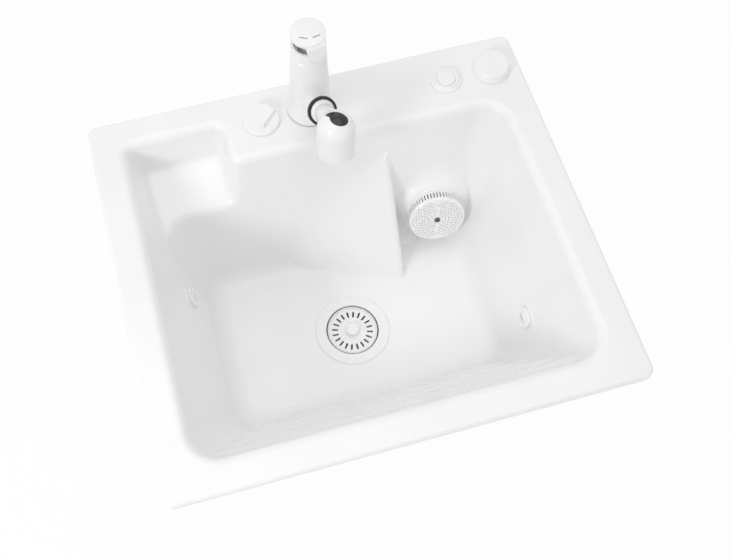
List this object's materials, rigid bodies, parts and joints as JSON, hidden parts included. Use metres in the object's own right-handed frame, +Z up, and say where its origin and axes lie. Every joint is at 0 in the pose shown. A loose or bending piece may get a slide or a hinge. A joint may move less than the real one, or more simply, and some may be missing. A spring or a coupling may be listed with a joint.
{
  "type": "utility laundry sink",
  "caption": "Drop-in laundry sink with washboard front wall, soap shelf, deck tap with pull-out spray, knob-worked drain, suction grille, wash jets and a pump behind the bowl.",
  "frame": {"origin": "middle of the rim's footprint, level with the worktop under the rim", "axes": "+X right, +Y to the back where the tap stands, +Z up"},
  "size_m": [0.635, 0.559, 0.5335],
  "materials": {
    "acrylic_white": "glossy sanitary acrylic",
    "abs_white": "glossy moulded plastic",
    "tap_enamel": "glossy white powder coat on brass",
    "black_rubber": "matt black rubber",
    "grey_rubber": "matt grey rubber",
    "black_gloss": "glossy black plastic",
    "grey_mark": "grey inlaid mark",
    "brass_raw": "raw turned brass",
    "steel_zinc": "zinc-plated steel",
    "steel_polished": "stainless steel",
    "pipe_pvc": "white pressure pipe",
    "motor_paint": "grey motor enamel",
    "pump_plastic": "black glass-filled plastic"
  },
  "bodies": {
    "sink": {"sink_bowl": "acrylic_white", "rim_seal": "black_rubber", "drain_flange": "abs_white", "drain_gasket": "grey_rubber", "drain_locknut": "abs_white", "lift_cable_gland": "pump_plastic", "drain_tail": "abs_white", "tail_nut": "abs_white", "deck_nuts": "abs_white", "waste_control_body": "abs_white", "air_button_housing": "abs_white", "air_button_bezel": "abs_white", "air_control_body": "abs_white", "tap_base_gasket": "black_rubber", "tap_body": "tap_enamel", "tap_shank": "brass_raw", "tap_washer": "grey_rubber", "tap_nut": "brass_raw", "tap_tail_pipes": "steel_polished", "cartridge_body": "pump_plastic", "cartridge_collar": "tap_enamel", "docking_ring": "black_rubber", "suction_body": "abs_white", "suction_gasket": "grey_rubber", "suction_nut": "abs_white", "suction_grille": "abs_white", "suction_screw": "steel_polished", "left_jet_body": "abs_white", "right_jet_body": "abs_white", "jet_flanges": "abs_white", "jet_gaskets": "grey_rubber", "pump_volute": "pump_plastic", "pump_motor": "motor_paint", "terminal_box": "pump_plastic", "mains_gland": "pump_plastic", "pump_cowl": "pump_plastic", "pump_bracket": "steel_zinc", "bracket_screws": "steel_zinc", "suction_elbow": "pipe_pvc", "delivery_tee": "pipe_pvc", "left_delivery_pipe": "pipe_pvc", "right_delivery_pipe": "pipe_pvc"},
    "lever_turret": {"cartridge_spindle": "brass_raw", "lever_pin": "steel_polished"},
    "lever": {"lever_handle": "tap_enamel", "lever_marks": "grey_mark"},
    "spray": {"spray_body": "tap_enamel", "spray_face": "grey_mark"},
    "spray_trigger": {"spray_button": "black_gloss"},
    "waste_control": {"waste_knob": "abs_white"},
    "strainer": {"strainer_basket": "abs_white", "strainer_knob": "abs_white", "plug_seal": "grey_rubber"},
    "air_switch": {"air_button": "abs_white"},
    "air_control": {"air_control_cap": "abs_white"},
    "left_jet_nozzle_ring": {"left_jet_ring": "abs_white"},
    "left_jet_ball": {"left_jet_eyeball": "abs_white"},
    "right_jet_nozzle_ring": {"right_jet_ring": "abs_white"},
    "right_jet_ball": {"right_jet_eyeball": "abs_white"},
    "rotor": {"pump_rotor": "pump_plastic"}
  },
  "joints": [
    {"name": "mixer_turn", "type": "hinge", "parent": "sink", "child": "lever_turret", "pos_m": [0, 0.23, 0.151], "axis": [0, 0, 1], "range_deg": [-57, 33]},
    {"name": "mixer_lift", "type": "hinge", "parent": "lever_turret", "child": "lever", "pos_m": [0, 0.23, 0.151], "axis": [-0.9781, -0.2079, 0], "range_deg": [0, 25]},
    {"name": "spray_pull_out", "type": "slide", "parent": "sink", "child": "spray", "axis": [0.0846, -0.8046, 0.5878], "range_m": [0, 0.04]},
    {"name": "spray_button_press", "type": "slide", "parent": "spray", "child": "spray_trigger", "axis": [0, 0, -1], "range_m": [0, 0.002], "stiffness_N_per_m": 600, "springref_m": -0.001},
    {"name": "waste_knob_turn", "type": "hinge", "parent": "sink", "child": "waste_control", "pos_m": [-0.073, 0.226, 0.013], "axis": [0, 0, -1], "range_deg": [0, 90]},
    {"name": "strainer_lift", "type": "slide", "parent": "sink", "child": "strainer", "axis": [0, 0, 1], "range_m": [0, 0.009]},
    {"name": "air_button_press", "type": "slide", "parent": "sink", "child": "air_switch", "axis": [0, 0, -1], "range_m": [0, 0.004], "stiffness_N_per_m": 800, "springref_m": -0.001},
    {"name": "air_control_turn", "type": "hinge", "parent": "sink", "child": "air_control", "pos_m": [0.274, 0.225, 0.013], "axis": [0, 0, 1], "range_deg": [0, 90]},
    {"name": "left_jet_turn", "type": "hinge", "parent": "sink", "child": "left_jet_nozzle_ring", "pos_m": [-0.23268, 0.045, -0.12], "axis": [0.959, 0, 0.2835], "range_deg": [-90, 90]},
    {"name": "left_jet_tilt", "type": "hinge", "parent": "left_jet_nozzle_ring", "child": "left_jet_ball", "pos_m": [-0.23268, 0.045, -0.12], "axis": [0, 1, 0], "range_deg": [-15, 15]},
    {"name": "right_jet_turn", "type": "hinge", "parent": "sink", "child": "right_jet_nozzle_ring", "pos_m": [0.23031, -0.112, -0.128], "axis": [-0.959, 0, 0.2835], "range_deg": [-90, 90]},
    {"name": "right_jet_tilt", "type": "hinge", "parent": "right_jet_nozzle_ring", "child": "right_jet_ball", "pos_m": [0.23031, -0.112, -0.128], "axis": [0, 1, 0], "range_deg": [-15, 15]},
    {"name": "pump_spin", "type": "hinge", "parent": "sink", "child": "rotor", "pos_m": [0, 0.19123, -0.18221], "axis": [1, 0, 0], "continuous": true}
  ],
  "couplings": [
    {"joint": "strainer_lift", "follows": "waste_knob_turn", "m_per_rad": 0.00573}
  ]
}
